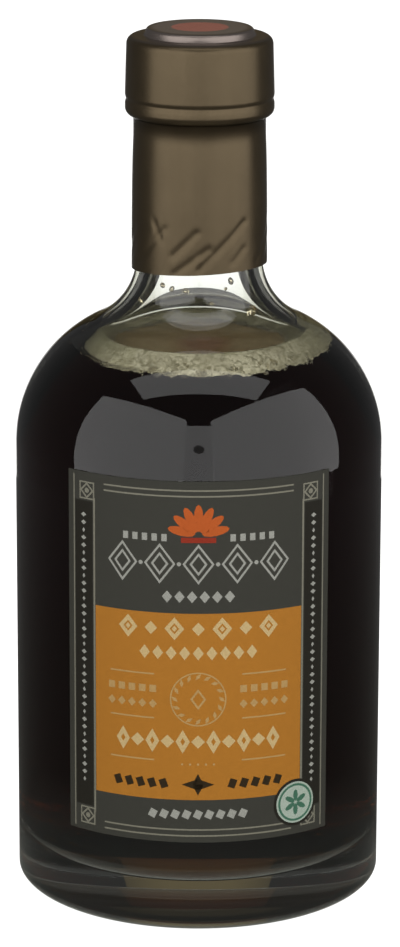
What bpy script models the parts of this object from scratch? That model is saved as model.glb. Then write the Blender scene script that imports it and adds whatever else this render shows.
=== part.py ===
"""A round glass bottle of dark syrup with a froth ring, a capsule over its stopper and a front label.

Metres, +Z up. The bottle stands on the origin, its axis is Z and its label faces -Y.
"""

import math

import bmesh
import bpy
from mathutils import Matrix

# Bottle body
BODY_RADIUS = 0.0379
WALL = 0.0032
HEEL_WIDTH = 0.0068
HEEL_HEIGHT = 0.0037
BEARING_WIDTH = 0.0050
PUNT_HEIGHT = 0.0022
FLOOR_HEIGHT = 0.0100
FLOOR_DOME = 0.0014
FLOOR_CORNER = 0.0070

# Shoulder and neck
SHOULDER_HEIGHT = 0.0952
SHOULDER_RADIUS = 0.0286
NECK_FILLET = 0.0147
NECK_RADIUS = 0.0129
NECK_TOP_RADIUS = 0.0125
MOUTH_HEIGHT = 0.1650
MOUTH_ROUND = 0.0010

# Contents
CLEARANCE = 0.0003
SYRUP_LEVEL = 0.1142
FROTH_HEIGHT = 0.0030
FROTH_WIDTH = 0.0058
FROTH_BUMP = 0.00035

# Capsule: sleeve, head and raised top disc
SLEEVE_EDGE = 0.1324
SLEEVE_SLANT = 0.0008
SLEEVE_FOOT_RADIUS = 0.0139
SLEEVE_TOP_RADIUS = 0.0135
SLEEVE_FOOT_BORE = 0.01355
SLEEVE_TOP_BORE = 0.01285
CREASE_DEPTH = 0.00030
CREASE_REACH = 0.0120
HEAD_BOTTOM = 0.1633
HEAD_RADIUS = 0.0152
HEAD_TOP_RADIUS = 0.0149
HEAD_LIP_ROUND = 0.0017
HEAD_GROOVE_HEIGHT = 0.1668
HEAD_GROOVE_DEPTH = 0.0003
HEAD_GROOVE_HALF = 0.0005
RIM_HEIGHT = 0.1796
RIM_ROUND = 0.0017
DISC_RADIUS = 0.0110
DISC_ROUND = 0.0008
TOP_HEIGHT = 0.1812

# Label
LABEL_BOTTOM = 0.0205
LABEL_TOP = 0.0964
LABEL_HALF_WIDTH = 0.0287
LABEL_GAP = 0.00015
LABEL_THICKNESS = 0.00015

# Facets
SIDES = 56
LABEL_COLUMNS = 18
WELD = 1e-7

SHOULDER_CENTRE = BODY_RADIUS - SHOULDER_RADIUS
FILLET_CENTRE = NECK_RADIUS + NECK_FILLET
FILLET_RISE = math.sqrt(
    (SHOULDER_RADIUS + NECK_FILLET) ** 2 - (FILLET_CENTRE - SHOULDER_CENTRE) ** 2
)
FILLET_HEIGHT = SHOULDER_HEIGHT + FILLET_RISE
TANGENT = math.degrees(math.atan2(FILLET_RISE, FILLET_CENTRE - SHOULDER_CENTRE))
INNER_RADIUS = BODY_RADIUS - WALL
BALL_RISE = math.sqrt((INNER_RADIUS + NECK_FILLET + WALL) ** 2 - FILLET_CENTRE**2)
BALL_HEIGHT = FILLET_HEIGHT - BALL_RISE
BALL_TANGENT = math.degrees(math.atan2(BALL_RISE, FILLET_CENTRE))


def arc(centre, radii, start, end, steps):
    """Points (radius, height) along an arc of an ellipse, both ends included, angles in degrees."""
    points = []
    for step in range(steps + 1):
        angle = math.radians(start + (end - start) * step / steps)
        points.append(
            (centre[0] + radii[0] * math.cos(angle), centre[1] + radii[1] * math.sin(angle))
        )
    return points


def material(name, colour, roughness, metallic=0.0, transmission=0.0):
    made = bpy.data.materials.new(name)
    made.use_nodes = True
    made.diffuse_color = (*colour, 1.0)
    shader = made.node_tree.nodes["Principled BSDF"]
    shader.inputs["Base Color"].default_value = (*colour, 1.0)
    shader.inputs["Roughness"].default_value = roughness
    shader.inputs["Metallic"].default_value = metallic
    shader.inputs["Transmission Weight"].default_value = transmission
    shader.inputs["IOR"].default_value = 1.5
    return made


def place(name, shape, finish, height, parent):
    """Makes the object of a finished bmesh and stands it on the axis at its height."""
    mesh = bpy.data.meshes.new(name)
    shape.to_mesh(mesh)
    shape.free()
    mesh.materials.append(finish)
    mesh.shade_smooth()
    mesh.set_sharp_from_angle(angle=math.radians(35))
    made = bpy.data.objects.new(name, mesh)
    made.location = (0.0, 0.0, height)
    made.parent = parent
    bpy.context.scene.collection.objects.link(made)
    return made


def turned(profile, base, closed=False):
    """Spins (radius, height) points round the axis into a closed body, heights taken from base."""
    shape = bmesh.new()
    points = [shape.verts.new((radius, 0.0, height - base)) for radius, height in profile]
    pairs = list(zip(points, points[1:]))
    if closed:
        pairs.append((points[-1], points[0]))
    edges = [shape.edges.new(pair) for pair in pairs]
    bmesh.ops.spin(
        shape,
        geom=points + edges,
        cent=(0.0, 0.0, 0.0),
        axis=(0.0, 0.0, 1.0),
        angle=math.tau,
        steps=SIDES,
        use_merge=True,
    )
    bmesh.ops.remove_doubles(shape, verts=shape.verts, dist=WELD)
    bmesh.ops.recalc_face_normals(shape, faces=shape.faces)
    return shape


def cavity(inset):
    """The inside of the bottle from the middle of its floor to the mouth, moved in by inset."""
    wall = WALL + inset
    corner = FLOOR_CORNER - inset
    side = BODY_RADIUS - wall
    floor = FLOOR_HEIGHT + inset
    ball = INNER_RADIUS - inset
    bend = NECK_FILLET + wall
    points = [(0.0, floor + FLOOR_DOME), (0.5 * side, floor + 0.6 * FLOOR_DOME)]
    points += arc((side - corner, floor + corner), (corner, corner), -90, 0, 6)
    points += arc((0.0, BALL_HEIGHT), (ball, ball), 0, BALL_TANGENT, 12)
    points += arc((FILLET_CENTRE, FILLET_HEIGHT), (bend, bend), 180 + BALL_TANGENT, 180, 6)[1:]
    return points


def bottle_profile():
    """The whole section of the glass: underside, heel, body, neck, mouth and back down inside."""
    foot = BODY_RADIUS - HEEL_WIDTH
    ring = foot - BEARING_WIDTH
    heel_centre = (foot, HEEL_HEIGHT)
    shoulder_centre = (SHOULDER_CENTRE, SHOULDER_HEIGHT)
    shoulder_radii = (SHOULDER_RADIUS, SHOULDER_RADIUS)
    fillet_centre = (FILLET_CENTRE, FILLET_HEIGHT)
    fillet_radii = (NECK_FILLET, NECK_FILLET)
    points = [(0.0, PUNT_HEIGHT), (0.6 * ring, 0.75 * PUNT_HEIGHT), (ring, 0.0)]
    points += arc(heel_centre, (HEEL_WIDTH, HEEL_HEIGHT), -90, 0, 7)
    points += arc(shoulder_centre, shoulder_radii, 0, TANGENT, 14)
    points += arc(fillet_centre, fillet_radii, 180 + TANGENT, 180, 7)[1:]
    inside = cavity(0.0)
    bore = inside[-1][0]
    outer_lip = (NECK_TOP_RADIUS - MOUTH_ROUND, MOUTH_HEIGHT - MOUTH_ROUND)
    inner_lip = (bore + MOUTH_ROUND, MOUTH_HEIGHT - MOUTH_ROUND)
    points += arc(outer_lip, (MOUTH_ROUND, MOUTH_ROUND), 0, 90, 2)
    points += arc(inner_lip, (MOUTH_ROUND, MOUTH_ROUND), 90, 180, 2)
    return points + inside[::-1]


def syrup_profile():
    """The syrup fills the cavity from its floor up to the level, a little clear of the glass."""
    surface = SYRUP_LEVEL
    below = [point for point in cavity(CLEARANCE) if point[1] < surface]
    return below + [(cavity_radius(surface, CLEARANCE), surface), (0.0, surface)]


def cavity_radius(height, inset):
    """Radius of the inside of the shoulder, which is part of a ball, at a height."""
    return math.sqrt((INNER_RADIUS - inset) ** 2 - (height - BALL_HEIGHT) ** 2)


def froth_profile():
    """The froth is a rounded bank along the glass, with its foot on the syrup."""
    foot = SYRUP_LEVEL + CLEARANCE
    points = []
    for share in (0.0, 0.35, 0.7, 1.0):
        height = foot + share * FROTH_HEIGHT
        points.append((cavity_radius(height, CLEARANCE), height))
    crest = points[-1][0]
    inner = cavity_radius(foot, CLEARANCE) - FROTH_WIDTH
    bank = (crest - inner, FROTH_HEIGHT)
    points += arc((crest, foot), bank, 90, 180, 4)[1:]
    return points


def bubbled(shape):
    """Lumpy bubbles on the free side of the froth, none where it meets the glass or the syrup."""
    for vert in shape.verts:
        angle = math.atan2(vert.co.y, vert.co.x)
        radius = math.hypot(vert.co.x, vert.co.y)
        height = vert.co.z
        wall = cavity_radius(height + SYRUP_LEVEL + CLEARANCE, CLEARANCE)
        if wall - radius < CLEARANCE or height < CLEARANCE:
            continue
        swell = math.sin(23 * angle) * math.cos(17 * angle + 900 * radius)
        vert.co.z += FROTH_BUMP * swell
        shift = 1.0 + 1.5 * FROTH_BUMP * math.sin(11 * angle + 1.3) / radius
        vert.co.x *= shift
        vert.co.y *= shift
    return shape


def capsule_profile():
    """The capsule from the middle of its top, down outside and back up inside to its ceiling."""
    sleeve_top = HEAD_BOTTOM - 0.4 * HEAD_LIP_ROUND
    disc_centre = (DISC_RADIUS - DISC_ROUND, TOP_HEIGHT - DISC_ROUND)
    rim_centre = (HEAD_TOP_RADIUS - RIM_ROUND, RIM_HEIGHT - RIM_ROUND)
    lip_centre = (HEAD_RADIUS - HEAD_LIP_ROUND, HEAD_BOTTOM + HEAD_LIP_ROUND)
    groove_top = HEAD_GROOVE_HEIGHT + HEAD_GROOVE_HALF
    groove_foot = HEAD_GROOVE_HEIGHT - HEAD_GROOVE_HALF
    points = [(0.0, TOP_HEIGHT)]
    points += arc(disc_centre, (DISC_ROUND, DISC_ROUND), 90, 0, 3)
    points += [(DISC_RADIUS + 0.5 * DISC_ROUND, RIM_HEIGHT)]
    points += arc(rim_centre, (RIM_ROUND, RIM_ROUND), 90, 0, 5)
    points += [
        (HEAD_RADIUS, groove_top),
        (HEAD_RADIUS - HEAD_GROOVE_DEPTH, HEAD_GROOVE_HEIGHT),
        (HEAD_RADIUS, groove_foot),
    ]
    points += arc(lip_centre, (HEAD_LIP_ROUND, HEAD_LIP_ROUND), 0, -90, 4)
    points += [(SLEEVE_TOP_RADIUS, sleeve_top)]
    foot_rows = 6
    for row in range(foot_rows + 1):
        share = row / foot_rows
        height = SLEEVE_EDGE + CREASE_REACH * (1 - share)
        points.append((SLEEVE_FOOT_RADIUS, height))
    points += [
        (SLEEVE_FOOT_BORE, SLEEVE_EDGE),
        (SLEEVE_TOP_BORE, HEAD_BOTTOM),
        (SLEEVE_TOP_BORE, MOUTH_HEIGHT + CLEARANCE),
        (0.0, MOUTH_HEIGHT + CLEARANCE),
    ]
    return points


def crease(angle, height):
    """Depth of the slanting shrink folds near the sleeve's edge, the height taken from that edge."""
    depth = 0.0
    fade = max(0.0, 1.0 - height / CREASE_REACH)
    for number in range(12):
        middle = math.radians(-104 + 31 * number + 9 * math.sin(2.7 * number))
        lean = 62 + 14 * math.sin(1.9 * number)
        away = angle - middle - lean * height
        away = math.atan2(math.sin(away), math.cos(away))
        depth += math.exp(-((away / 0.075) ** 2))
    return CREASE_DEPTH * depth * fade**0.6


def shrunk(shape):
    """Cuts the sleeve's edge on a slant and presses the shrink folds into its outer side."""
    outer = 0.5 * (SLEEVE_FOOT_RADIUS + SLEEVE_FOOT_BORE)
    for vert in shape.verts:
        angle = math.atan2(vert.co.x, -vert.co.y)
        radius = math.hypot(vert.co.x, vert.co.y)
        height = vert.co.z
        if height > CREASE_REACH + WELD:
            continue
        if radius > outer:
            shift = 1.0 - crease(angle, height) / radius
            vert.co.x *= shift
            vert.co.y *= shift
        slant = SLEEVE_SLANT * math.sin(angle + math.radians(38))
        vert.co.z += slant * (1.0 - height / CREASE_REACH)
    return shape


def label_shape(base):
    """A sheet of paper wrapped on the front of the body, one strip of columns extruded outwards."""
    inner = BODY_RADIUS + LABEL_GAP
    half_angle = LABEL_HALF_WIDTH / BODY_RADIUS
    shape = bmesh.new()
    low = shape.verts.new((0.0, -inner, LABEL_BOTTOM - base))
    high = shape.verts.new((0.0, -inner, LABEL_TOP - base))
    edge = shape.edges.new((low, high))
    start = Matrix.Rotation(-half_angle, 4, "Z")
    bmesh.ops.transform(shape, matrix=start, verts=shape.verts)
    bmesh.ops.spin(
        shape,
        geom=[low, high, edge],
        cent=(0.0, 0.0, 0.0),
        axis=(0.0, 0.0, 1.0),
        angle=2 * half_angle,
        steps=LABEL_COLUMNS,
    )
    sheet = bmesh.ops.extrude_face_region(shape, geom=shape.faces[:])
    raised = [item for item in sheet["geom"] if isinstance(item, bmesh.types.BMVert)]
    grow = (inner + LABEL_THICKNESS) / inner
    bmesh.ops.scale(shape, vec=(grow, grow, 1.0), verts=raised)
    bmesh.ops.recalc_face_normals(shape, faces=shape.faces)
    return shape


for old in list(bpy.data.objects):
    bpy.data.objects.remove(old)

bottle = bpy.data.objects.new("bottle_axis", None)
bpy.context.scene.collection.objects.link(bottle)

glass = material("clear glass", (0.86, 0.89, 0.86), 0.03, transmission=1.0)
place("glass_bottle", turned(bottle_profile(), 0.0), glass, 0.0, bottle)

dark_syrup = material("dark syrup", (0.030, 0.012, 0.006), 0.08)
place("syrup", turned(syrup_profile(), FLOOR_HEIGHT), dark_syrup, FLOOR_HEIGHT, bottle)

foam = material("froth", (0.40, 0.37, 0.24), 0.55)
froth_foot = SYRUP_LEVEL + CLEARANCE
ring = turned(froth_profile(), froth_foot, closed=True)
place("froth", bubbled(ring), foam, froth_foot, bottle)

bronze = material("satin bronze film", (0.155, 0.130, 0.090), 0.42, metallic=0.55)
cover = turned(capsule_profile(), SLEEVE_EDGE)
place("capsule", shrunk(cover), bronze, SLEEVE_EDGE, bottle)

paper = material("printed label paper", (0.060, 0.055, 0.045), 0.60)
place("label", label_shape(LABEL_BOTTOM), paper, LABEL_BOTTOM, bottle)
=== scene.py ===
import math
import random

import bmesh
import bpy
from mathutils import Matrix, Vector, noise


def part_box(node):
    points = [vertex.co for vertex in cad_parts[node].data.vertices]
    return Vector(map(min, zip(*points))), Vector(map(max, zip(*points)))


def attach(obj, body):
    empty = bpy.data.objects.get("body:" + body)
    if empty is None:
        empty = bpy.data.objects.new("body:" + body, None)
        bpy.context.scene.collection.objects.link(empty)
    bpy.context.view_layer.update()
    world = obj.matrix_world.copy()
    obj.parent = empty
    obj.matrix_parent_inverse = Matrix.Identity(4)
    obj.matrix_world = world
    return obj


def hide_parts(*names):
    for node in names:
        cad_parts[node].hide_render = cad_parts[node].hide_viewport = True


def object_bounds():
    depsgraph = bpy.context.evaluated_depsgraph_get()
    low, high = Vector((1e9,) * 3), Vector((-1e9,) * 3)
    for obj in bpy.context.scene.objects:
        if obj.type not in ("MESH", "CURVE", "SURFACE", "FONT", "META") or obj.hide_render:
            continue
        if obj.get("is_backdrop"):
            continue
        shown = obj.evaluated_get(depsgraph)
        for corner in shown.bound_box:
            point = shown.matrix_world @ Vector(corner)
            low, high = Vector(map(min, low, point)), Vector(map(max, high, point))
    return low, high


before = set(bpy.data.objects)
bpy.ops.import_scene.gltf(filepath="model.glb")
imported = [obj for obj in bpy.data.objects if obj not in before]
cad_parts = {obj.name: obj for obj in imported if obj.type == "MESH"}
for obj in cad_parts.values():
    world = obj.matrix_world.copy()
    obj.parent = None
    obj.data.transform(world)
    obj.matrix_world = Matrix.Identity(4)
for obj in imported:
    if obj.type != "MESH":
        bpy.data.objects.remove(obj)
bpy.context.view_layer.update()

# The bottle is clear glass blown in a mould, with a thick base, a round shoulder and a plain
# neck. One section is drawn for its outside and its inside together and turned round the
# axis. Seen edge on, such glass looks a little yellow green.
BOTTLE_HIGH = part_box("glass_bottle")[1]
BODY_RADIUS = BOTTLE_HIGH.x
MOUTH_HEIGHT = BOTTLE_HIGH.z
WALL = 0.0032
HEEL_WIDTH = 0.0068
HEEL_HEIGHT = 0.0037
BEARING_WIDTH = 0.0050
BEARING_EDGE = 0.0002
PUNT_HEIGHT = 0.0022
FLOOR_HEIGHT = 0.0100
FLOOR_DOME = 0.0014
FLOOR_CORNER = 0.0070
SHOULDER_HEIGHT = 0.0952
SHOULDER_RADIUS = 0.0286
NECK_FILLET = 0.0147
NECK_RADIUS = 0.0129
NECK_TOP_RADIUS = 0.0125
MOUTH_ROUND = 0.0010
GLASS_SIDES = 192
WELD = 1e-7
SHARP_FROM = math.radians(40)

# The outside of the shoulder is one arc that runs into the fillet of the neck. Its inside is
# a ball on the bottle's axis, which meets the same fillet grown by the wall.
SHOULDER_CENTRE = BODY_RADIUS - SHOULDER_RADIUS
FILLET_CENTRE = NECK_RADIUS + NECK_FILLET
FILLET_RISE = math.sqrt(
    (SHOULDER_RADIUS + NECK_FILLET) ** 2 - (FILLET_CENTRE - SHOULDER_CENTRE) ** 2
)
FILLET_HEIGHT = SHOULDER_HEIGHT + FILLET_RISE
TANGENT = math.degrees(math.atan2(FILLET_RISE, FILLET_CENTRE - SHOULDER_CENTRE))
INNER_RADIUS = BODY_RADIUS - WALL
BALL_RISE = math.sqrt((INNER_RADIUS + NECK_FILLET + WALL) ** 2 - FILLET_CENTRE**2)
BALL_HEIGHT = FILLET_HEIGHT - BALL_RISE
BALL_TANGENT = math.degrees(math.atan2(BALL_RISE, FILLET_CENTRE))


def arc(centre, radii, start, end, steps):
    """Points (radius, height) along an arc of an ellipse, angles in degrees."""
    points = []
    for step in range(steps + 1):
        angle = math.radians(start + (end - start) * step / steps)
        points.append(
            (centre[0] + radii[0] * math.cos(angle), centre[1] + radii[1] * math.sin(angle))
        )
    return points


def turned(profile, sides, closed=False):
    """A closed body spun from (radius, height) points."""
    shape = bmesh.new()
    points = [shape.verts.new((radius, 0.0, height)) for radius, height in profile]
    pairs = list(zip(points, points[1:]))
    if closed:
        pairs.append((points[-1], points[0]))
    edges = [shape.edges.new(pair) for pair in pairs]
    bmesh.ops.spin(
        shape,
        geom=points + edges,
        cent=(0.0, 0.0, 0.0),
        axis=(0.0, 0.0, 1.0),
        angle=math.tau,
        steps=sides,
        use_merge=True,
    )
    bmesh.ops.remove_doubles(shape, verts=shape.verts, dist=WELD)
    bmesh.ops.recalc_face_normals(shape, faces=shape.faces)
    return shape


def placed(name, shape, paint):
    """The object of a finished bmesh, in its paint."""
    mesh = bpy.data.meshes.new(name)
    shape.to_mesh(mesh)
    shape.free()
    mesh.materials.append(paint.material)
    made = bpy.data.objects.new(name, mesh)
    bpy.context.scene.collection.objects.link(made)
    return made


def piece(name, shape, paint, replaced=None):
    """A smooth part of the bottle, tied to the frame."""
    made = placed(name, shape, paint)
    made.data.shade_smooth()
    made.data.set_sharp_from_angle(angle=SHARP_FROM)
    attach(made, "root")
    if replaced:
        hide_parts(replaced)
    return made


class Wire:
    """A number coming out of a shader node, which takes part in arithmetic."""

    def __init__(self, nodes, socket):
        self.nodes = nodes
        self.socket = socket

    def mixed(self, operation, first, second):
        return self.nodes.node(
            "ShaderNodeMath", {"operation": operation}, {0: first, 1: second}
        )

    def __add__(self, other):
        return self.mixed("ADD", self, other)

    def __radd__(self, other):
        return self.mixed("ADD", other, self)

    def __sub__(self, other):
        return self.mixed("SUBTRACT", self, other)

    def __rsub__(self, other):
        return self.mixed("SUBTRACT", other, self)

    def __mul__(self, other):
        return self.mixed("MULTIPLY", self, other)

    def __rmul__(self, other):
        return self.mixed("MULTIPLY", other, self)


class Nodes:
    """The nodes of a material or of the world."""

    def __init__(self, tree):
        self.tree = tree

    def feed(self, socket, value):
        if isinstance(value, Wire):
            self.tree.links.new(value.socket, socket)
        else:
            socket.default_value = value

    def node(self, kind, settings=None, sockets=None, output=0):
        made = self.tree.nodes.new(kind)
        for title, value in (settings or {}).items():
            setattr(made, title, value)
        for title, value in (sockets or {}).items():
            self.feed(made.inputs[title], value)
        return Wire(self, made.outputs[output])


class Paint(Nodes):
    """A material built from one Principled shader and the nodes that vary it."""

    def __init__(self, name, constants):
        self.material = bpy.data.materials.new(name)
        self.material.use_nodes = True
        super().__init__(self.material.node_tree)
        self.shader = self.tree.nodes["Principled BSDF"]
        for title, value in constants.items():
            self.shader.inputs[title].default_value = value

    def place(self, scale=(1.0, 1.0, 1.0)):
        """Object coordinates, stretched."""
        where = self.node("ShaderNodeTexCoord", output="Object")
        return self.node("ShaderNodeMapping", None, {"Vector": where, "Scale": scale})

    def along(self, axis):
        """One of the Object coordinates: 0 to the right, 1 to the back, 2 up."""
        where = self.node("ShaderNodeTexCoord", output="Object")
        return self.node("ShaderNodeSeparateXYZ", None, {0: where}, output=axis)

    def length(self, vector):
        return self.node(
            "ShaderNodeVectorMath", {"operation": "LENGTH"}, {0: vector}, output="Value"
        )

    def from_axis(self):
        """Distance from the bottle's axis."""
        return self.length(self.place((1.0, 1.0, 0.0)))

    def grain(self, scale, detail=3.0, roughness=0.5, stretch=(1.0, 1.0, 1.0)):
        """Soft noise, 0 to 1, on Object coordinates."""
        sockets = {
            "Vector": self.place(stretch),
            "Scale": scale,
            "Detail": detail,
            "Roughness": roughness,
        }
        return self.node("ShaderNodeTexNoise", None, sockets)

    def between(self, factor, first, second):
        """A colour that goes from first to second."""
        return self.node(
            "ShaderNodeMix",
            {"data_type": "RGBA"},
            {"Factor": factor, 6: first, 7: second},
            output=2,
        )

    def spread(self, value, low, high, to_low=0.0, to_high=1.0):
        """A number taken from one range to another and held there."""
        sockets = {0: value, 1: low, 2: high, 3: to_low, 4: to_high}
        return self.node("ShaderNodeMapRange", None, sockets)

    def drive(self, title, value):
        self.feed(self.shader.inputs[title], value)

    def relief(self, height, depth):
        """Fine relief, its depth in metres."""
        bump = self.node(
            "ShaderNodeBump", None, {"Height": height, "Distance": depth, "Strength": 1.0}
        )
        self.drive("Normal", bump)


def cavity(inset):
    """The inside of the bottle from the middle of its floor to the mouth, moved in by inset."""
    wall = WALL + inset
    corner = FLOOR_CORNER - inset
    side = BODY_RADIUS - wall
    floor = FLOOR_HEIGHT + inset
    ball = INNER_RADIUS - inset
    bend = NECK_FILLET + wall
    points = [(0.0, floor + FLOOR_DOME), (0.5 * side, floor + 0.6 * FLOOR_DOME)]
    points += arc((side - corner, floor + corner), (corner, corner), -90, 0, 16)
    points += [(side, 0.5 * (floor + SHOULDER_HEIGHT))]
    points += arc((0.0, BALL_HEIGHT), (ball, ball), 0, BALL_TANGENT, 44)
    points += arc((FILLET_CENTRE, FILLET_HEIGHT), (bend, bend), 180 + BALL_TANGENT, 180, 24)[1:]
    return points


def bottle_section():
    heel = BODY_RADIUS - HEEL_WIDTH
    ring = heel - BEARING_WIDTH
    shoulder = (SHOULDER_RADIUS, SHOULDER_RADIUS)
    fillet = (NECK_FILLET, NECK_FILLET)
    points = []
    for out, rise in [(0.0, 1.0), (0.3, 0.97), (0.6, 0.8), (0.85, 0.42)]:
        points.append((out * ring, rise * PUNT_HEIGHT))
    points += [(ring, BEARING_EDGE), (1.02 * ring, 0.0)]
    points += arc((heel, HEEL_HEIGHT), (HEEL_WIDTH, HEEL_HEIGHT), -90, 0, 20)
    points += [(BODY_RADIUS, 0.5 * SHOULDER_HEIGHT)]
    points += arc((SHOULDER_CENTRE, SHOULDER_HEIGHT), shoulder, 0, TANGENT, 48)
    points += arc((FILLET_CENTRE, FILLET_HEIGHT), fillet, 180 + TANGENT, 180, 24)[1:]
    inside = cavity(0.0)
    bore = inside[-1][0]
    lip = (MOUTH_ROUND, MOUTH_ROUND)
    lip_height = MOUTH_HEIGHT - MOUTH_ROUND
    points += arc((NECK_TOP_RADIUS - MOUTH_ROUND, lip_height), lip, 0, 90, 4)
    points += arc((bore + MOUTH_ROUND, lip_height), lip, 90, 180, 4)
    return points + inside[::-1]


CLEAR_COLOUR = (0.97, 0.98, 0.96, 1.0)
EDGE_COLOUR = (0.66, 0.65, 0.40, 1.0)
EDGE_FADE = (0.35, 0.9)
NO_MIRROR = {"Specular Tint": (0.0, 0.0, 0.0, 1.0)}
CLEAR = {
    "Base Color": CLEAR_COLOUR,
    "Roughness": 0.0,
    "IOR": 1.5,
    "Transmission Weight": 1.0,
}
glass = Paint("bottle_glass", CLEAR)
edge_on = glass.node("ShaderNodeLayerWeight", None, {"Blend": 0.5}, output="Facing")
edge_on = glass.spread(edge_on, *EDGE_FADE)
glass.drive("Base Color", glass.between(edge_on, CLEAR_COLOUR, EDGE_COLOUR))
bottle = piece(
    "bottle", turned(bottle_section(), GLASS_SIDES), glass, "glass_bottle"
)

# Up to the syrup's level the inside of the glass is wet, and where the syrup touches it
# nothing is mirrored between the two.
SYRUP_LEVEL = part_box("syrup")[1].z
wetted_glass = Paint("wetted_glass", CLEAR | NO_MIRROR)
bottle.data.materials.append(wetted_glass.material)
for face in bottle.data.polygons:
    inward = face.normal.x * face.center.x + face.normal.y * face.center.y < 0
    upward = face.normal.z > 0.5 and face.center.z < FLOOR_HEIGHT + FLOOR_CORNER
    if FLOOR_HEIGHT < face.center.z < SYRUP_LEVEL and (inward or upward):
        face.material_index = 1

# The syrup fills the bottle to well up in its shoulder. It is clear but so dark that only
# thin layers let light through, and it wets the glass, so its side reaches a hair into the
# wall. A brown film floats on it, and near its middle a reddish painted reflection of the
# stopper's underside.
WETTED = -0.00005
SURFACE_DEPTH = 1e-5
REFLECTION_SPOT = (0.0008, -0.0045, SYRUP_LEVEL)
REFLECTION_SPOT_EDGE = (0.0030, 0.0075)
FILM_EDGE = (0.0190, 0.0205)
LIQUID = {
    "Base Color": (1.0, 1.0, 1.0, 1.0),
    "Roughness": 0.0,
    "IOR": 1.47,
    "Transmission Weight": 1.0,
}
ABSORBED = {"Color": (0.78, 0.61, 0.40, 1.0), "Density": 260.0}


def cavity_radius(height, inset=0.0):
    """Radius of the inside of the shoulder, a part of a ball, at a height."""
    return math.sqrt((INNER_RADIUS - inset) ** 2 - (height - BALL_HEIGHT) ** 2)


syrup = Paint("dark_syrup", LIQUID | {"Transmission Weight": 0.45})
clouds = syrup.spread(syrup.grain(140.0, 3.0, 0.55, stretch=(0.5, 1.0, 1.0)), 0.4, 0.62)
film = syrup.between(clouds, (0.54, 0.38, 0.19, 1.0), (0.80, 0.61, 0.35, 1.0))
# Painted reflection: a reddish spot near the middle of the film stands in for the stopper's
# underside mirrored in the syrup.
from_reflection_spot = syrup.node(
    "ShaderNodeVectorMath", {"operation": "SUBTRACT"}, {0: syrup.place(), 1: REFLECTION_SPOT}
)
painted_reflection = syrup.spread(syrup.length(from_reflection_spot), *REFLECTION_SPOT_EDGE, 0.75, 0.0)
film = syrup.between(painted_reflection, film, (0.42, 0.14, 0.09, 1.0))
bare = syrup.spread(syrup.from_axis(), *FILM_EDGE)
syrup.drive("Base Color", syrup.between(bare, film, (0.010, 0.005, 0.003, 1.0)))
wetting_syrup = Paint("wetting_syrup", LIQUID | NO_MIRROR)
for paint in (syrup, wetting_syrup):
    absorbed = paint.node("ShaderNodeVolumeAbsorption", None, ABSORBED)
    paint.feed(paint.tree.nodes["Material Output"].inputs["Volume"], absorbed)

syrup_section = [point for point in cavity(WETTED) if point[1] < SYRUP_LEVEL]
syrup_section += [(cavity_radius(SYRUP_LEVEL, WETTED), SYRUP_LEVEL), (0.0, SYRUP_LEVEL)]
fill = piece("syrup_fill", turned(syrup_section, GLASS_SIDES), syrup, "syrup")
fill.data.materials.append(wetting_syrup.material)
for face in fill.data.polygons:
    if face.center.z < SYRUP_LEVEL - SURFACE_DEPTH:
        face.material_index = 1

# Filling the bottle leaves a bank of fine froth round the edge of the syrup. It clings to
# the glass, stands off it a little on the left, and small bubbles gather along its edges.
FROTH_HEIGHT = 0.0030
FROTH_WIDTH = 0.0058
FROTH_DIP = 0.0004
FROTH_SIDES = 240
WALL_ROWS = 12
CLINGING = 0.0002
SAG_REACH = 0.0012
SAG_DEPTH = 0.0005
SWELL_REACH = 0.0006
SWELL_UP = 0.00035
SWELL_OUT = 0.0007
STAND_OFF = 0.0014
STAND_OFF_TURN = math.radians(76)
STAND_OFF_REACH = math.radians(25)
CELL_SCALE = 1350.0
CELL_EDGE = (0.45, 0.85)
CELL_DEPTH = 0.00014
BACK_SHADE_FADE = (-0.024, -0.008)

froth = Paint("froth", {"Roughness": 0.45, "Specular IOR Level": 0.4})
cells = froth.node(
    "ShaderNodeTexVoronoi", {"feature": "F1"}, {"Vector": froth.place(), "Scale": CELL_SCALE}
)
patches = froth.spread(froth.grain(260.0, 3.0, 0.6), 0.35, 0.65)
pale = froth.between(patches, (0.56, 0.51, 0.33, 1.0), (0.90, 0.84, 0.58, 1.0))
pale = froth.between(froth.spread(cells, *CELL_EDGE), pale, (0.34, 0.31, 0.18, 1.0))
# Painted shade: towards the back the froth is mixed part way to a dark olive, standing in for
# the shade on the far side of the bank.
behind = froth.spread(froth.along(1), *BACK_SHADE_FADE)
froth.drive("Base Color", froth.between(0.6 * behind, pale, (0.20, 0.19, 0.12, 1.0)))
froth.relief(1 - cells, CELL_DEPTH)


def lumpy(place):
    """Uneven rises of a bank of foam, about -1 to 1."""
    coarse = noise.noise(420.0 * place) + 0.7 * noise.noise(1100.0 * place)
    return coarse + 0.4 * noise.noise(2600.0 * place)


def stand_off(angle):
    """How far the bank stands off the glass, at an angle from the front."""
    return STAND_OFF * math.exp(-(((angle + STAND_OFF_TURN) / STAND_OFF_REACH) ** 2))


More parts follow.
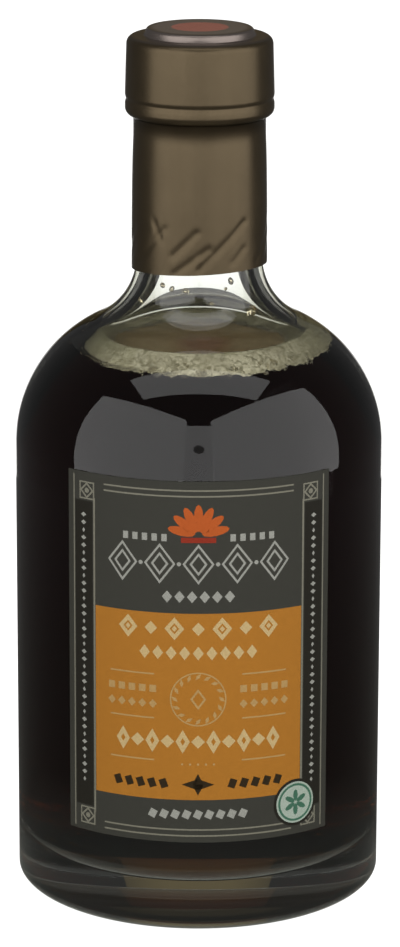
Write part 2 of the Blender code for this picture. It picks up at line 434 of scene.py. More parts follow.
foot = SYRUP_LEVEL - FROTH_DIP
crest = cavity_radius(SYRUP_LEVEL + FROTH_HEIGHT, WETTED)
bank_width = crest - (cavity_radius(SYRUP_LEVEL) - FROTH_WIDTH)
froth_section = []
for step in range(WALL_ROWS + 1):
    height = foot + (FROTH_HEIGHT + FROTH_DIP) * step / WALL_ROWS
    froth_section.append((cavity_radius(height, WETTED), height))
froth_section += arc((crest, SYRUP_LEVEL), (bank_width, FROTH_HEIGHT), 90, 180, 16)[1:]
froth_section.append((crest - bank_width, foot))
froth_bank = turned(froth_section, FROTH_SIDES, closed=True)
for vert in froth_bank.verts:
    radius = math.hypot(vert.co.x, vert.co.y)
    lump = lumpy(vert.co)
    if cavity_radius(vert.co.z, WETTED) - radius < CLINGING:
        sagging = max(0.0, 1.0 - (vert.co.z - foot) / SAG_REACH)
        vert.co.z += SAG_DEPTH * sagging * lump
        shift = cavity_radius(vert.co.z, WETTED) / radius
        shift -= stand_off(math.atan2(vert.co.x, -vert.co.y)) / radius
    else:
        raised = min(1.0, (vert.co.z - foot) / SWELL_REACH)
        vert.co.z += SWELL_UP * raised * lump
        shift = 1.0 + SWELL_OUT * lump / radius
    vert.co.x *= shift
    vert.co.y *= shift
piece("froth_bank", froth_bank, froth, "froth")

# Two bubbles in three float along the bank's inner edge, and the rest cling to the glass.
# The larger ones have a thinner, clearer skin.
BUBBLES = 2000
SMALLEST = 0.00016
LARGER_BY = 0.00058
THIN_FROM = 0.00032
EDGE_OUT = 0.0006
EDGE_SPREAD = 0.0013
CLINGING_BELOW = -0.0009
CLINGING_ABOVE = 0.0012

bubble_skin = Paint(
    "bubble_skin",
    {"Base Color": (0.62, 0.58, 0.42, 1.0), "Roughness": 0.12, "Transmission Weight": 0.35},
)
thin_skin = Paint(
    "thin_skin",
    {
        "Base Color": (0.85, 0.80, 0.62, 1.0),
        "Roughness": 0.05,
        "IOR": 1.35,
        "Transmission Weight": 0.85,
    },
)
dice = random.Random(7)
ball = bmesh.new()
bmesh.ops.create_icosphere(ball, subdivisions=2, radius=1.0)
ball_mesh = bpy.data.meshes.new("ball")
ball.to_mesh(ball_mesh)
ball.free()
bubbles = bmesh.new()
for number in range(BUBBLES):
    angle = dice.uniform(0.0, math.tau)
    size = SMALLEST + LARGER_BY * dice.random() ** 3
    if number % 3:
        height = SYRUP_LEVEL + 0.3 * size
        reach = crest - bank_width - EDGE_SPREAD * dice.random() ** 2 + EDGE_OUT
    else:
        height = SYRUP_LEVEL + dice.uniform(CLINGING_BELOW, CLINGING_ABOVE)
        reach = cavity_radius(height) - 0.8 * size - stand_off(math.remainder(angle, math.tau))
    spot = Vector((reach * math.sin(angle), -reach * math.cos(angle), height))
    earlier_points = len(bubbles.verts)
    earlier_faces = len(bubbles.faces)
    bubbles.from_mesh(ball_mesh)
    bubbles.verts.ensure_lookup_table()
    bubbles.faces.ensure_lookup_table()
    for vert in bubbles.verts[earlier_points:]:
        vert.co = spot + size * vert.co
    for face in bubbles.faces[earlier_faces:]:
        face.material_index = int(size > THIN_FROM)
bpy.data.meshes.remove(ball_mesh)
froth_bubbles = piece("froth_bubbles", bubbles, bubble_skin)
froth_bubbles.data.materials.append(thin_skin.material)

# A few clear drops of syrup hang on the inside of the neck where the filling splashed it.
# Each is given as an angle from the front in degrees, a height and a size.
DROPS = [
    (-41, 0.1294, 0.00055),
    (-14, 0.1287, 0.00065),
    (50, 0.1236, 0.00120),
    (-64, 0.1252, 0.00060),
    (12, 0.1262, 0.00040),
    (28, 0.1290, 0.00035),
    (140, 0.1270, 0.00080),
    (-150, 0.1245, 0.00070),
]
clear_drop = Paint("clear_drop", LIQUID | {"Base Color": (0.9, 0.8, 0.55, 1.0)})
drops = bmesh.new()
for turn, height, size in DROPS:
    fall = max(0.0, FILLET_HEIGHT - height)
    reach = FILLET_CENTRE - math.sqrt((NECK_FILLET + WALL) ** 2 - fall**2) - 0.25 * size
    angle = math.radians(turn)
    spot = Vector((reach * math.sin(angle), -reach * math.cos(angle), height))
    squash = Matrix.Diagonal((size, 0.5 * size, 1.15 * size, 1.0))
    matrix = Matrix.Translation(spot) @ Matrix.Rotation(angle, 4, "Z") @ squash
    bmesh.ops.create_icosphere(drops, subdivisions=3, radius=1.0, matrix=matrix)
piece("neck_drops", drops, clear_drop)

# A capsule of satin bronze film is shrunk over the stopper and the neck. Its top is a raised
# disc with a round reddish spot, its head has a pressed line above the lip, and the heat has
# drawn slanting folds into the edge of the sleeve, which was cut a little out of square.
SLEEVE_EDGE = 0.1324
SLEEVE_SLANT = 0.0008
SLANT_TURN = math.radians(38)
SLEEVE_FOOT_RADIUS = 0.0139
SLEEVE_TOP_RADIUS = 0.0135
SLEEVE_BORE = 0.01355
SLEEVE_ROWS = 60
NECK_BORE = 0.01285
STOPPER_GAP = 0.0003
HEAD_BOTTOM = 0.1633
HEAD_RADIUS = 0.0152
HEAD_TOP_RADIUS = 0.0149
HEAD_LIP_ROUND = 0.0017
GROOVE_HEIGHT = 0.1668
GROOVE_DEPTH = 0.00022
GROOVE_REACH = 0.0011
RIM_HEIGHT = 0.1796
RIM_ROUND = 0.0017
DISC_RADIUS = 0.0110
DISC_ROUND = 0.0008
DISC_FADE = (0.0090, 0.0104)
SPOT_RADIUS = 0.0060
SPOT_FADE = 0.0004
TOP_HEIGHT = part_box("capsule")[1].z
CREASE_DEPTH = 0.00017
CREASE_WIDTH = 0.00075
CREASE_END = 0.0010
CREASE_REACH = 0.0120
CAPSULE_SIDES = 288
MM = 0.001

bronze = Paint("capsule_film", {"IOR": 1.5})
streaks = bronze.grain(500.0, 4.0, 0.6, stretch=(1.0, 1.0, 0.06))
flecks = bronze.spread(bronze.grain(1900.0, 2.0), 0.3, 0.7)
colour = bronze.between(streaks, (0.088, 0.065, 0.036, 1.0), (0.108, 0.081, 0.047, 1.0))
colour = bronze.between(0.25 * flecks, colour, (0.135, 0.10, 0.06, 1.0))
on_top = bronze.spread(bronze.along(2), RIM_HEIGHT - 0.0004, RIM_HEIGHT + 0.0002)
on_spot = bronze.spread(bronze.from_axis(), SPOT_RADIUS - SPOT_FADE, SPOT_RADIUS, 1.0, 0.0)
top_colour = bronze.between(on_spot, (0.24, 0.20, 0.18, 1.0), (0.44, 0.165, 0.13, 1.0))
colour = bronze.between(on_top, colour, top_colour)
# Painted shadow: the sleeve just under the head's lip is darkened, standing in for the shade
# that the lip casts on it.
under_lip = bronze.spread(bronze.along(2), HEAD_BOTTOM - 0.0030, HEAD_BOTTOM - 0.0010)
above_lip = bronze.spread(bronze.along(2), HEAD_BOTTOM, HEAD_BOTTOM + 0.0004)
painted_lip_shadow = 0.5 * (under_lip - above_lip)
bronze.drive("Base Color", bronze.between(painted_lip_shadow, colour, (0.020, 0.012, 0.005, 1.0)))
on_disc = on_top * bronze.spread(bronze.from_axis(), *DISC_FADE, 1.0, 0.0)
bronze.drive("Metallic", 0.85 - 0.40 * on_disc - 0.35 * on_top * on_spot)
bronze.drive("Roughness", bronze.spread(bronze.grain(160.0, 3.0), 0.3, 0.7, 0.30, 0.36))
bronze.relief(streaks, 0.00001)


def capsule_section():
    points = [(0.0, TOP_HEIGHT), (0.5 * DISC_RADIUS, TOP_HEIGHT)]
    disc = (DISC_RADIUS - DISC_ROUND, TOP_HEIGHT - DISC_ROUND)
    points += arc(disc, (DISC_ROUND, DISC_ROUND), 90, 0, 8)
    points += [(DISC_RADIUS + 0.0004, RIM_HEIGHT + 0.0001), (DISC_RADIUS + 0.0009, RIM_HEIGHT)]
    rim = (HEAD_TOP_RADIUS - RIM_ROUND, RIM_HEIGHT - RIM_ROUND)
    points += arc(rim, (RIM_ROUND, RIM_ROUND), 90, 0, 12)
    for step in range(-6, 7):
        share = step / 6
        dip = GROOVE_DEPTH * math.exp(-4 * share * share)
        points.append((HEAD_RADIUS - dip, GROOVE_HEIGHT - GROOVE_REACH * share))
    lip = (HEAD_RADIUS - HEAD_LIP_ROUND, HEAD_BOTTOM + HEAD_LIP_ROUND)
    points += arc(lip, (HEAD_LIP_ROUND, HEAD_LIP_ROUND), 0, -90, 12)
    points += [(SLEEVE_TOP_RADIUS + 0.0003, HEAD_BOTTOM - 0.0001)]
    points += [(SLEEVE_TOP_RADIUS, HEAD_BOTTOM - 0.0006)]
    start = HEAD_BOTTOM - 0.004
    for step in range(SLEEVE_ROWS + 1):
        share = step / SLEEVE_ROWS
        widened = 1 - math.exp(-3.0 * share)
        radius = SLEEVE_TOP_RADIUS + (SLEEVE_FOOT_RADIUS - SLEEVE_TOP_RADIUS) * widened
        points.append((radius, start + (SLEEVE_EDGE - start) * share))
    points += [(SLEEVE_BORE, SLEEVE_EDGE), (SLEEVE_BORE - 0.0002, SLEEVE_EDGE + 0.006)]
    points += [(NECK_BORE, HEAD_BOTTOM), (NECK_BORE, MOUTH_HEIGHT + STOPPER_GAP)]
    points += [(0.0, MOUTH_HEIGHT + STOPPER_GAP)]
    return points


# Each fold runs from one place to another, as an angle from the front in degrees and a
# height over the sleeve's edge in millimetres, and has a share of the full depth. These are
# the ones on the front, and the others follow round the back.
FOLDS = [
    (-22, 4.2, -3, 8.8, 1.0),
    (-21, 0.4, 7, 5.3, 0.9),
    (0, 1.2, 40, 10.6, 1.1),
    (30, 2.2, 40, 4.8, 0.7),
    (-41, 10.6, -35, 7.6, 0.6),
    (-4, 0.0, -1, 3.0, -0.6),
]
BACK_FOLDS = 14
FOLD_LEAN = 4.2
dice = random.Random(11)
for number in range(BACK_FOLDS):
    angle = 58 + 18 * number + dice.uniform(-5, 5)
    low = dice.uniform(0.3, 3.0)
    high = low + dice.uniform(2.5, 8.0)
    FOLDS.append((angle, low, angle + FOLD_LEAN * (high - low), high, dice.uniform(0.5, 1.1)))


def crease(angle, height):
    """Depth of the shrink folds at a place on the sleeve."""
    depth = 0.0
    for start, low, end, high, share in FOLDS:
        along = math.radians(end - start) * SLEEVE_FOOT_RADIUS
        up = (high - low) * MM
        turn = angle - math.radians(start)
        turn = math.atan2(math.sin(turn), math.cos(turn)) * SLEEVE_FOOT_RADIUS
        rise = height - low * MM
        length = math.hypot(along, up)
        travel = (turn * along + rise * up) / length
        off = abs(turn * up - rise * along) / length
        beyond = max(0.0, -travel, travel - length)
        depth += share * math.exp(-((off / CREASE_WIDTH) ** 2) - (beyond / CREASE_END) ** 2)
    return CREASE_DEPTH * depth


capsule = turned(capsule_section(), CAPSULE_SIDES)
for vert in capsule.verts:
    angle = math.atan2(vert.co.x, -vert.co.y)
    radius = math.hypot(vert.co.x, vert.co.y)
    height = vert.co.z - SLEEVE_EDGE
    if height > CREASE_REACH + 0.001:
        continue
    if radius > 0.5 * (SLEEVE_FOOT_RADIUS + SLEEVE_BORE):
        shift = 1.0 - crease(angle, height) / radius
        vert.co.x *= shift
        vert.co.y *= shift
    slant = SLEEVE_SLANT * math.sin(angle + SLANT_TURN)
    vert.co.z += slant * max(0.0, 1.0 - height / CREASE_REACH)
cover = piece("capsule_cover", capsule, bronze, "capsule")

# The stopper under the film closes the mouth. Its underside is reddish and shows mirrored
# in the syrup.
stopper_face = Paint("stopper_face", {"Base Color": (0.55, 0.17, 0.09, 1.0), "Roughness": 0.5})
cover.data.materials.append(stopper_face.material)
for face in cover.data.polygons:
    if face.normal.z < -0.9 and face.center.z > MOUTH_HEIGHT:
        face.material_index = 1

# The label is matt charcoal paper glued to the front of the body. It is cut flat and
# wrapped, so print and paper are laid out in the plane first: x runs along the paper from
# its middle, z is the height, both in millimetres, and -y comes forward from the glass.
LABEL_LOW, LABEL_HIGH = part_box("label")
LABEL_HALF_WIDTH = 0.0287
COLUMN = 0.0010
CUT = 1e-8
PAPER_THICKNESS = 0.00012
PRINT_THICKNESS = 0.00002
PAPER_LIFT = 0.00002
FIELD_LIFT = PAPER_LIFT + PAPER_THICKNESS
PRINT_LIFT = FIELD_LIFT + 0.00002


def ink(name, colour, roughness=0.5):
    """A printed colour, worn a little unevenly."""
    paint = Paint(name, {"Roughness": roughness, "Specular IOR Level": 0.18})
    worn = [0.86 * part for part in colour]
    paint.drive("Base Color", paint.between(paint.grain(700.0), (*worn, 1.0), (*colour, 1.0)))
    paint.relief(paint.grain(1400.0, 4.0, 0.6), 0.00002)
    return paint


def wrapped(shape, lift, thickness):
    """Bends flat shapes round the body and gives them a thickness, on top of lift."""
    reach = int(LABEL_HALF_WIDTH / COLUMN) + 1
    for column in range(-reach, reach + 1):
        bmesh.ops.bisect_plane(
            shape,
            geom=shape.verts[:] + shape.edges[:] + shape.faces[:],
            dist=CUT,
            plane_co=(column * COLUMN, 0.0, 0.0),
            plane_no=(1.0, 0.0, 0.0),
        )
    solid = bmesh.ops.extrude_face_region(shape, geom=shape.faces[:])
    raised = [item for item in solid["geom"] if isinstance(item, bmesh.types.BMVert)]
    bmesh.ops.translate(shape, vec=(0.0, -thickness, 0.0), verts=raised)
    for vert in shape.verts:
        angle = vert.co.x / BODY_RADIUS
        radius = BODY_RADIUS + lift - vert.co.y
        vert.co.x = radius * math.sin(angle)
        vert.co.y = -radius * math.cos(angle)
    bmesh.ops.recalc_face_normals(shape, faces=shape.faces)
    return shape


def flat(width, height, x, z, turn):
    """Takes a form two units wide in the ground plane to its size and place on the label."""
    return (
        Matrix.Translation((x * MM, 0.0, z * MM))
        @ Matrix.Rotation(math.radians(turn), 4, "Y")
        @ Matrix.Diagonal((0.5 * width * MM, 1.0, 0.5 * height * MM, 1.0))
        @ Matrix.Rotation(math.radians(90), 4, "X")
    )


def bar(shape, width, height, x, z, turn=0.0):
    """A straight bar."""
    matrix = flat(width, height, x, z, turn)
    bmesh.ops.create_grid(shape, x_segments=1, y_segments=1, size=1.0, matrix=matrix)


def stamp(shape, sides, width, height, x, z, turn=0.0, outline=0.0):
    """A regular form with so many sides, filled or, with an outline, hollow."""
    matrix = flat(width, height, x, z, turn)
    made = bmesh.ops.create_circle(
        shape, cap_ends=True, segments=sides, radius=1.0, matrix=matrix
    )
    if outline:
        face = made["verts"][0].link_faces[0]
        bmesh.ops.inset_region(
            shape,
            faces=[face],
            thickness=outline * MM,
            use_boundary=True,
            use_even_offset=True,
        )
        bmesh.ops.delete(shape, geom=[face], context="FACES_ONLY")


def spaced(count, first, last):
    """Places at even steps from first to last."""
    return [first + (last - first) * number / (count - 1) for number in range(count)]


def around(turn, radius):
    """A place on a circle, its turn in degrees clockwise from the top."""
    return radius * math.sin(math.radians(turn)), radius * math.cos(math.radians(turn))


def printed(name, shape, paint, lift=PRINT_LIFT):
    """A layer of print on the label."""
    piece(name, wrapped(shape, lift, PRINT_THICKNESS), paint)


label_middle = 0.5 * (LABEL_LOW.z + LABEL_HIGH.z) / MM
label_height = (LABEL_HIGH.z - LABEL_LOW.z) / MM
charcoal = ink("label_paper", (0.046, 0.045, 0.036), 0.62)
sheet = bmesh.new()
bar(sheet, 2 * LABEL_HALF_WIDTH / MM, label_height, 0.0, label_middle)
piece("label_sheet", wrapped(sheet, PAPER_LIFT, PAPER_THICKNESS), charcoal, "label")

# The label is printed in layers. Fields of flat colour lie first: an ochre panel, and a
# darker strip down each side.
PANEL_LOW = 29.6
PANEL_HIGH = 69.0
PANEL_WIDTH = 43.6
STRIP_WIDTH = 4.3
STRIP_HEIGHT = 64.4
STRIP_MIDDLE = 58.2
STRIP_PLACE = 24.7
ochre = ink("ochre_field", (0.455, 0.182, 0.021), 0.55)
panel = bmesh.new()
bar(panel, PANEL_WIDTH, PANEL_HIGH - PANEL_LOW, 0.0, 0.5 * (PANEL_LOW + PANEL_HIGH))
printed("label_panel", panel, ochre, FIELD_LIFT)

dark_field = ink("dark_field", (0.017, 0.015, 0.010), 0.6)
strips = bmesh.new()
for side in (-1, 1):
    bar(strips, STRIP_WIDTH, STRIP_HEIGHT, side * STRIP_PLACE, STRIP_MIDDLE)
printed("label_side_strips", strips, dark_field, FIELD_LIFT)

# Two fine gilt lines run along each edge of the label. In each corner stands a small square
# that holds a lozenge and a dot.
CROSS_LINES = (94.5, 93.3, 23.2, 21.9)
CORNER_HEIGHTS = (92.6, 23.8)
CORNER_PLACE = 23.9
gilt = ink("gilt_line", (0.225, 0.215, 0.165), 0.45)
lines = bmesh.new()
for side in (-1, 1):
    bar(lines, 0.28, 74.5, side * 27.2, 58.4)
    bar(lines, 0.40, 66.5, side * 22.1, 58.0)
for height in CROSS_LINES:
    bar(lines, 39.6, 0.32, 0.0, height)
for side in (-1, 1):
    for height in CORNER_HEIGHTS:
        stamp(lines, 4, 5.2, 5.2, side * CORNER_PLACE, height, 45, 0.3)
        stamp(lines, 4, 3.4, 3.4, side * CORNER_PLACE, height, 0, 0.35)
        stamp(lines, 12, 1.1, 1.1, side * CORNER_PLACE, height)
printed("label_frame", lines, gilt, FIELD_LIFT)

# The print on the charcoal is pale bone: a chain of lozenges down each side strip, nested
# lozenges with beads between them, a short row under them, and rows of small squares.
LOZENGE_HEIGHT = 79.3
bone = ink("bone_print", (0.36, 0.36, 0.32), 0.5)
bone_shape = bmesh.new()
for number, height in enumerate(spaced(36, 31.5, 87.5)):
    for side in (-1, 1):
        stamp(bone_shape, 4, 1.3 if number % 3 else 0.7, 1.0, side * STRIP_PLACE, height)
for number, x in enumerate(spaced(9, -15.6, 15.6)):
    if number % 2:
        stamp(bone_shape, 10, 0.9, 0.9, x, LOZENGE_HEIGHT)
    else:
        stamp(bone_shape, 4, 6.4, 8.4, x, LOZENGE_HEIGHT, 0, 0.42)
        stamp(bone_shape, 4, 3.6, 4.8, x, LOZENGE_HEIGHT, 0, 0.42)
for x in spaced(6, -6.3, 6.3):
    stamp(bone_shape, 4, 2.1, 2.5, x, 72.5)
for side in (-1, 1):
    for x in spaced(5, 6.9, 14.9):
        bar(bone_shape, 1.1, 1.5, side * x, 84.7)
for x in spaced(9, -9.2, 9.2):
    bar(bone_shape, 1.5, 1.7, x, 26.5, 25)
printed("label_bone_print", bone_shape, bone)

# The print on the panel is cream: two rows above and one below a ring of leaves. The ring,
# the rules and small squares beside it, and the dots below are of a darker wheat.
BIG_ROW = 65.8
SMALL_ROW = 60.7
LOW_ROW = 42.0
cream = ink("cream_print", (0.62, 0.45, 0.21), 0.5)
cream_shape = bmesh.new()
for number, x in enumerate(spaced(7, -14.4, 14.4)):
    if number % 2:
        stamp(cream_shape, 4, 2.6, 2.8, x, BIG_ROW)
    else:
        stamp(cream_shape, 4, 4.0, 4.8, x, BIG_ROW, 0, 0.8)
        stamp(cream_shape, 4, 1.1, 1.3, x, BIG_ROW)
for x in spaced(9, -10.9, 10.9):
    stamp(cream_shape, 4, 2.2, 2.9, x, SMALL_ROW)
for number, x in enumerate(spaced(11, -15.5, 15.5)):
    if number % 2:
        stamp(cream_shape, 4, 2.8, 2.8, x, LOW_ROW)
    else:
        stamp(cream_shape, 4, 2.9, 5.0, x, LOW_ROW, 0, 0.85)
printed("label_cream_print", cream_shape, cream)

RING_HEIGHT = 51.0
wheat = ink("wheat_print", (0.50, 0.31, 0.115), 0.5)
wheat_shape = bmesh.new()
for height in (56.1, 46.8, 37.9):
    for side in (-1, 1):
        bar(wheat_shape, 9.4, 0.32, side * 13.6, height)
for side in (-1, 1):
    for x in spaced(5, 9.2, 18.0):
        bar(wheat_shape, 1.4, 1.5, side * x, 53.0)
        stamp(wheat_shape, 4, 1.7, 1.9, side * x, 49.8)
stamp(wheat_shape, 40, 11.4, 11.4, 0.0, RING_HEIGHT, 0, 0.28)
for turn in spaced(16, 0.0, 337.5):
    x, z = around(turn, 4.75)
    stamp(wheat_shape, 4, 0.8, 1.7, x, RING_HEIGHT + z, turn + 40)
stamp(wheat_shape, 4, 3.2, 4.4, 0.0, RING_HEIGHT, 0, 0.4)
for x in spaced(5, -3.2, 3.2):
    stamp(wheat_shape, 8, 0.5, 0.5, x, 37.2)
printed("label_wheat_print", wheat_shape, wheat)

# At the foot of the panel runs a row of small squares in dark brown, printed over the ochre,
# with a four-pointed star in its middle.
STAR_HEIGHT = 32.9
umber = ink("umber_print", (0.030, 0.018, 0.006), 0.5)
umber_shape = bmesh.new()
for side in (-1, 1):
    for x in spaced(5, 7.0, 16.6):
        bar(umber_shape, 1.5, 1.9, side * x, 33.0, 20 * side)
stamp(umber_shape, 4, 6.6, 2.4, 0.0, STAR_HEIGHT)
stamp(umber_shape, 4, 2.4, 4.6, 0.0, STAR_HEIGHT)
printed("label_umber_print", umber_shape, umber)

# A bright flower stands on the charcoal above the big lozenges. Its seven petals fan out
# from a red calyx.
flame = ink("flame_print", (0.52, 0.105, 0.018), 0.5)
flower = bmesh.new()
for turn in spaced(7, -78.0, 78.0):
    x, z = around(turn, 1.0)
    stamp(flower, 12, 1.9, 5.6, 3.5 * x, 85.4 + 3.45 * z, turn)
printed("label_flower", flower, flame, FIELD_LIFT)

ember = ink("ember_print", (0.30, 0.030, 0.012), 0.5)
calyx = bmesh.new()
bar(calyx, 7.0, 1.1, 0.0, 84.3)
printed("label_calyx", calyx, ember)

# A round sticker covers one corner of the frame: a dark edge, a mint face, and a green ring
# round six leaves, one layer on another.
STICKER = (20.8, 27.3)
STICKER_LIFT = PRINT_LIFT + PRINT_THICKNESS
halo = bmesh.new()
stamp(halo, 40, 10.0, 10.0, *STICKER)
printed("label_spot_edge", halo, dark_field)

mint = ink("mint_print", (0.42, 0.50, 0.42), 0.45)
face_shape = bmesh.new()
stamp(face_shape, 40, 8.8, 8.8, *STICKER)
printed("label_spot", face_shape, mint, STICKER_LIFT)

fern = ink("fern_print", (0.060, 0.165, 0.105), 0.45)
ring = bmesh.new()
stamp(ring, 40, 8.0, 8.0, *STICKER, 0, 0.45)
for turn in spaced(6, 0.0, 300.0):
    x, z = around(turn, 1.5)
    stamp(ring, 8, 1.1, 2.5, STICKER[0] + x, STICKER[1] + z, turn)
printed("label_spot_ring", ring, fern, STICKER_LIFT + PRINT_THICKNESS)

# The bottle stands on a pale table that ends in the white of the room. Only the camera sees
# it, and the bottle mirrors and shows through its glass the cards and boxes that follow.
TABLE_DROP = 0.0001


def card(name, shape, paint):
    """A stage piece that the camera doesn't see, only light and reflections."""
    made = placed(name, shape, paint)
    made.visible_camera = False
    made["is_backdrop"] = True
    return made


def glowing(name):
    """A paint with no gloss and no colour but what it gives off."""
    unlit = {
        "Base Color": (0.0, 0.0, 0.0, 1.0),
        "Roughness": 1.0,
        "Specular IOR Level": 0.0,
        "Emission Strength": 1.0,
    }
    return Paint(name, unlit)


table_shape = bmesh.new()
bmesh.ops.create_grid(table_shape, x_segments=1, y_segments=1, size=4.0)
bmesh.ops.translate(table_shape, vec=(0.0, 0.0, -TABLE_DROP), verts=table_shape.verts)
table_paint = Paint(
    "table",
    {
        "Base Color": (0.8, 0.8, 0.8, 1.0),
        "Emission Color": (1.0, 1.0, 1.0, 1.0),
        "Emission Strength": 1.0,
    },
)
table = card("table", table_shape, table_paint)
table.visible_camera = True
table.visible_glossy = False
table.visible_transmission = False
table.visible_diffuse = False
table.visible_shadow = False

# A grey pad under the bottle is brightest near the bottle's foot and on the camera's side,
# and takes on the grey of the room towards its rim.
PAD_RADIUS = 0.42
PAD_MIDDLE = -0.09
PAD_DROP = 0.0002
PAD_NEAR = (0.04, 0.14)
PAD_BEHIND = (-0.06, 0.03)
PAD_RIM = (0.12, 0.42)
ROOM_GREY = 0.085
pad = bmesh.new()
bmesh.ops.create_circle(
    pad,
    cap_ends=True,
    segments=64,
    radius=PAD_RADIUS,
    matrix=Matrix.Translation((0.0, PAD_MIDDLE, -PAD_DROP)),
)
pad_paint = glowing("grey_pad")
reach = pad_paint.length(pad_paint.place((1.25, 1.0, 1.0)))
near = pad_paint.spread(reach, *PAD_NEAR)
tone = pad_paint.between(near, (0.46, 0.48, 0.43, 1.0), (0.085, 0.083, 0.075, 1.0))
behind = pad_paint.spread(pad_paint.along(1), *PAD_BEHIND)
tone = pad_paint.between(behind, tone, (0.064, 0.064, 0.058, 1.0))
rim = pad_paint.spread(reach, *PAD_RIM)
tone = pad_paint.between(rim, tone, (ROOM_GREY, ROOM_GREY, ROOM_GREY, 1.0))
pad_paint.drive("Emission Color", tone)
card("grey_pad", pad, pad_paint)

# The backdrop is white low down, which the neck shows, and above that a dim brown that
# fades towards the sides.
BACKDROP_BEHIND = 1.5
BACKDROP_WIDTH = 0.8
BACKDROP_HEIGHT = 1.9
BACKDROP_MIDDLE = 0.2
BROWN_TO_SIDE = (0.15, 0.50)
WHITE_TO_BROWN = (-0.15, 0.05)
backdrop = bmesh.new()
bmesh.ops.create_grid(backdrop, x_segments=1, y_segments=1, size=0.5)
upright = Matrix.Rotation(math.radians(90), 3, "X")
bmesh.ops.rotate(backdrop, matrix=upright, verts=backdrop.verts)
bmesh.ops.scale(backdrop, vec=(BACKDROP_WIDTH, 1.0, BACKDROP_HEIGHT), verts=backdrop.verts)
backdrop_place = (0.0, BACKDROP_BEHIND, BACKDROP_MIDDLE)
bmesh.ops.translate(backdrop, vec=backdrop_place, verts=backdrop.verts)
backdrop_paint = glowing("backdrop")
aside = backdrop_paint.along(0)
aside = backdrop_paint.spread(aside * aside, *(edge**2 for edge in BROWN_TO_SIDE))
dusk = backdrop_paint.between(aside, (0.09, 0.071, 0.036, 1.0), (0.020, 0.018, 0.015, 1.0))
rise = backdrop_paint.spread(backdrop_paint.along(2), *WHITE_TO_BROWN)
tone = backdrop_paint.between(rise, (1.15, 1.15, 1.12, 1.0), dusk)
backdrop_paint.drive("Emission Color", tone)
card("backdrop", backdrop, backdrop_paint)

# The lens that took the photograph shows as a small grey spot in the bright card behind it.
# A round card stands in for it, turned towards the bottle.
LENS_RADIUS = 0.090
LENS_PLACE = (0.0, -1.5, 0.51)
lens_card = bmesh.new()
bmesh.ops.create_circle(
    lens_card,
    cap_ends=True,
    segments=32,
    radius=LENS_RADIUS,
    matrix=Matrix.Translation(LENS_PLACE) @ Matrix.Rotation(math.radians(75), 4, "X"),
)
lens_paint = Paint(
    "lens_card",
    {
        "Base Color": (0.004, 0.004, 0.004, 1.0),
        "Roughness": 1.0,
        "Emission Color": (0.30, 0.31, 0.30, 1.0),
        "Emission Strength": 1.0,
    },
)
card("lens_card", lens_card, lens_paint)

# Two soft boxes stand in front at the left and the right, and a bright card between them
# behind the camera. All three face the bottle. One more box hangs overhead and shines down.
BOX_DISTANCE = 1.6
BOX_FOOT = -0.4


def softbox(name, width, height, radiance):
    """A soft box, seen only by light and in reflections."""
    data = bpy.data.lights.new(name, "AREA")
    data.shape = "RECTANGLE"
    data.size = width
    data.size_y = height
    data.energy = radiance * width * height * math.pi
    box = bpy.data.objects.new(name, data)
    box.visible_camera = False
    bpy.context.scene.collection.objects.link(box)
    return box


def standing(name, azimuth, width, top, radiance):
    """An upright soft box, at an angle from the front in degrees."""
    box = softbox(name, width, top - BOX_FOOT, radiance)
    angle = math.radians(azimuth)
    middle = 0.5 * (BOX_FOOT + top)
    box.location = (BOX_DISTANCE * math.sin(angle), -BOX_DISTANCE * math.cos(angle), middle)
    box.rotation_euler = (math.radians(90), 0.0, angle)


standing("left_box", -45.8, 2.40, 1.70, 1.6)
standing("right_box", 52.5, 3.06, 1.85, 1.55)
standing("camera_card", 0, 0.5, 1.2, 1.35)
top_box = softbox("top_box", 1.7, 0.55, 1.35)
top_box.location = (0.02, -0.42, 1.35)

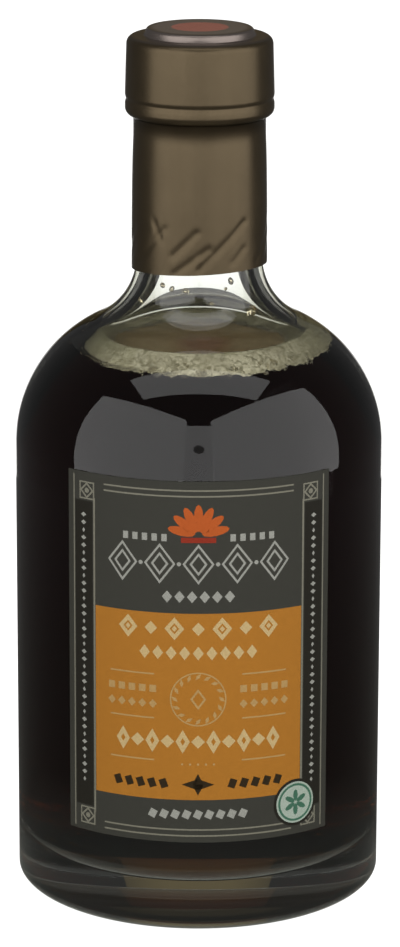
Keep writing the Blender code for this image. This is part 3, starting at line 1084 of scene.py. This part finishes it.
# The room is white to the camera, grey in reflections and nearly dark through the glass, so
# the picture's ground is bright while the glass keeps its dark edges.
THROUGH_GLASS = 0.012
world = bpy.data.worlds.new("studio")
bpy.context.scene.world = world
world.use_nodes = True
room = Nodes(world.node_tree)
passed = room.node("ShaderNodeLightPath", output="Is Transmission Ray")
seen = room.node("ShaderNodeLightPath", output="Is Camera Ray")
unseen_glow = room.node(
    "ShaderNodeMapRange", None, {"Value": passed, "To Min": ROOM_GREY, "To Max": THROUGH_GLASS}
)
glow = room.node(
    "ShaderNodeMapRange", None, {"Value": seen, "To Min": unseen_glow, "To Max": 1.0}
)
background = world.node_tree.nodes["Background"]
background.inputs["Color"].default_value = (1.0, 1.0, 1.0, 1.0)
room.feed(background.inputs["Strength"], glow)

# The camera stands where the photograph was taken from: a long lens, a little above. Its
# place was fitted to the bottle's outline in the photograph.
CAMERA_BACK = 22.5088 * BODY_RADIUS
CAMERA_HEIGHT = 8.398 * BODY_RADIUS
CAMERA_SIDE = 0.0065 * BODY_RADIUS
CAMERA_PITCH = 15.117
CAMERA_ROLL = 0.15
FILM = 36.0
FOCAL_PIXELS = 4258.0
PICTURE_PIXELS = 947.0

camera_data = bpy.data.cameras.new("camera")
camera_data.lens = FILM * FOCAL_PIXELS / PICTURE_PIXELS
camera_data.sensor_width = FILM
camera = bpy.data.objects.new("camera", camera_data)
camera.location = (CAMERA_SIDE, -CAMERA_BACK, CAMERA_HEIGHT)
tilt = Matrix.Rotation(math.radians(90.0 - CAMERA_PITCH), 4, "X")
roll = Matrix.Rotation(math.radians(CAMERA_ROLL), 4, "Z")
camera.rotation_euler = (tilt @ roll).to_euler()
bpy.context.scene.collection.objects.link(camera)
bpy.context.scene.camera = camera

# Light passes many layers of glass and syrup. The denoiser is given the picture alone,
# because the grain of dark glass in its other passes would come back in the picture.
scene = bpy.context.scene
scene.view_settings.view_transform = "Standard"
scene.cycles.max_bounces = 24
scene.cycles.transmission_bounces = 24
scene.cycles.glossy_bounces = 12
scene.cycles.transparent_max_bounces = 16
scene.cycles.use_denoising = True
scene.cycles.denoising_input_passes = "RGB"

low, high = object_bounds()
